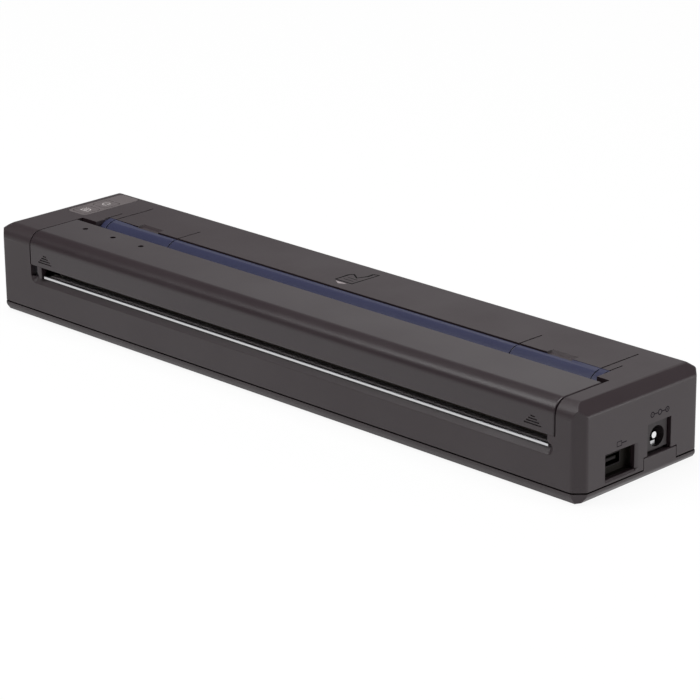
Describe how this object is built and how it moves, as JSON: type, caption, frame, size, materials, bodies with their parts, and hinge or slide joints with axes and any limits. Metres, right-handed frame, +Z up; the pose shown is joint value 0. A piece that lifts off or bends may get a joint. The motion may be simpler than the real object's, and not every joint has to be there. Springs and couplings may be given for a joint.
{
  "type": "portable thermal printer",
  "caption": "Slim bar-shaped portable page printer with a lifting front cover, paper inlet ramp, exit slot, key panel and ports on one end.",
  "frame": {"origin": "middle of the footprint on the table, at the bottom of the rubber feet", "axes": "+X runs along the bar towards the ports, -Y is the paper exit side, +Z is up"},
  "size_m": [0.255, 0.055, 0.03],
  "materials": {
    "case_plastic": "fine satin grain",
    "cover_plastic": "fine satin grain",
    "ramp_plastic": "deep blue, half gloss",
    "panel_plastic": "satin grey",
    "inner_plastic": "matt black",
    "gear_plastic": "natural acetal",
    "light_lens": "clear",
    "board_green": "solder mask",
    "component_black": "moulded",
    "connector_white": "moulded nylon",
    "steel": "rolled",
    "bright_steel": "polished",
    "aluminium": "extruded",
    "brass": "turned",
    "ceramic": "glazed ceramic",
    "rubber": "ground",
    "polyimide": "film",
    "pack_sleeve": "shrink film"
  },
  "bodies": {
    "housing": {"base_tray": "case_plastic", "body_shell": "case_plastic", "inlet_ramp": "ramp_plastic", "paper_guide": "inner_plastic", "exit_guide": "inner_plastic", "port_surround": "inner_plastic", "tear_bar": "bright_steel", "key_panel": "panel_plastic", "button_board": "board_green", "key_switches": "component_black", "hinge_pins": "steel", "cover_latches": "steel", "gear_axles": "bright_steel", "stepper_motor": "steel", "left_side_plate": "steel", "right_side_plate": "steel", "cross_beam": "steel", "head_springs": "steel", "head_bracket": "steel", "head_cable": "polyimide", "main_board": "board_green", "board_parts": "component_black", "usb_socket": "bright_steel", "dc_jack": "inner_plastic", "dc_pin": "bright_steel", "paper_sensor": "component_black", "battery_cells": "steel", "battery_sleeve": "pack_sleeve", "battery_cradle": "inner_plastic", "battery_contacts": "component_black", "door_pins": "steel", "motor_cable": "connector_white", "board_screws": "steel", "case_screws": "steel", "rubber_feet": "rubber"},
    "cover": {"release_cover": "cover_plastic", "led_lenses": "light_lens", "led_board": "board_green", "platen_bushings": "gear_plastic"},
    "platen": {"platen_rubber": "rubber", "platen_shaft": "bright_steel", "platen_gear": "gear_plastic"},
    "drive": {"drive_gear": "gear_plastic"},
    "idler": {"idler_gear": "gear_plastic"},
    "pinion": {"motor_pinion": "brass"},
    "head": {"thermal_head": "ceramic", "heat_sink": "aluminium"},
    "power_button": {"power_key": "panel_plastic"},
    "feed_button": {"feed_key": "panel_plastic"},
    "rear_door": {"battery_door": "case_plastic"}
  },
  "joints": [
    {"name": "cover_hinge", "type": "hinge", "parent": "housing", "child": "cover", "pos_m": [0.0036, -0.0092, 0.0264], "axis": [-1, 0, 0], "range_deg": [0, 70]},
    {"name": "platen_spin", "type": "hinge", "parent": "cover", "child": "platen", "pos_m": [0.0036, -0.0162, 0.0216], "axis": [1, 0, 0], "continuous": true},
    {"name": "drive_spin", "type": "hinge", "parent": "housing", "child": "drive", "pos_m": [-0.10735, -0.00595, 0.01882], "axis": [1, 0, 0], "continuous": true},
    {"name": "idler_spin", "type": "hinge", "parent": "housing", "child": "idler", "pos_m": [-0.10735, 0.00567, 0.01389], "axis": [1, 0, 0], "continuous": true},
    {"name": "pinion_spin", "type": "hinge", "parent": "housing", "child": "pinion", "pos_m": [-0.10735, 0.01668, 0.01544], "axis": [1, 0, 0], "continuous": true},
    {"name": "head_float", "type": "slide", "parent": "housing", "child": "head", "axis": [0, 0, -1], "range_m": [0, 0.0005], "stiffness_N_per_m": 2000, "springref_m": -0.003, "deforming": ["head_springs", "head_cable"]},
    {"name": "power_press", "type": "slide", "parent": "housing", "child": "power_button", "axis": [0, 0, -1], "range_m": [0, 0.0004], "stiffness_N_per_m": 1500, "springref_m": -0.0003},
    {"name": "feed_press", "type": "slide", "parent": "housing", "child": "feed_button", "axis": [0, 0, -1], "range_m": [0, 0.0004], "stiffness_N_per_m": 1500, "springref_m": -0.0003},
    {"name": "battery_door_hinge", "type": "hinge", "parent": "housing", "child": "rear_door", "pos_m": [0.00675, 0.0266, 0.0085], "axis": [-1, 0, 0], "range_deg": [0, 90]}
  ],
  "couplings": [
    {"joint": "drive_spin", "follows": "platen_spin", "ratio": -1.1},
    {"joint": "idler_spin", "follows": "platen_spin", "ratio": 0.73333},
    {"joint": "pinion_spin", "follows": "platen_spin", "ratio": -1.5714}
  ]
}
